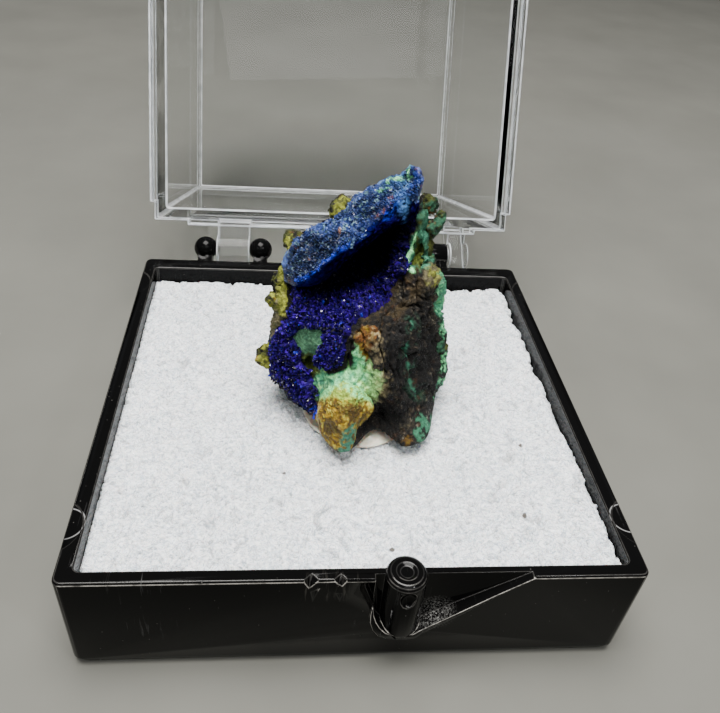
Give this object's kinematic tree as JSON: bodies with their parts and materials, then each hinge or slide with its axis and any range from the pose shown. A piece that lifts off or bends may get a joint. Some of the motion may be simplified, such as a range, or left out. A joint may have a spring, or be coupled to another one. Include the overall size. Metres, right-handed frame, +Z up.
{
  "type": "mineral specimen in a hinged display box",
  "caption": "Azurite druse in a hollow of goethite and malachite, fixed with putty on foam in a black tray with a deep clear hinged lid.",
  "frame": {"origin": "centre of the tray's underside, on the table", "axes": "+X to the right along the latch side, +Y from the latch to the hinge, +Z up"},
  "size_m": [0.052, 0.1124, 0.0668],
  "materials": {
    "black_polystyrene": "gloss, lightly scuffed",
    "clear_polystyrene": "clear moulded plastic, polished",
    "white_foam": "matt soft plastic foam with curly cells",
    "cream_putty": "dull tacky putty",
    "goethite_and_malachite": "rough, sparkling in places, green crusts and ochre limonite",
    "azurite": "glassy small crystals"
  },
  "bodies": {
    "box": {"base_tray": "black_polystyrene", "foam_insert": "white_foam", "putty_pad": "cream_putty", "specimen_rock": "goethite_and_malachite", "azurite_crust": "azurite"},
    "lid": {"clear_lid": "clear_polystyrene"}
  },
  "joints": [
    {"name": "lid_hinge", "type": "hinge", "parent": "box", "child": "lid", "pos_m": [0, 0.0291, 0.0124], "axis": [1, 0, 0], "range_deg": [0, 112.4]}
  ]
}
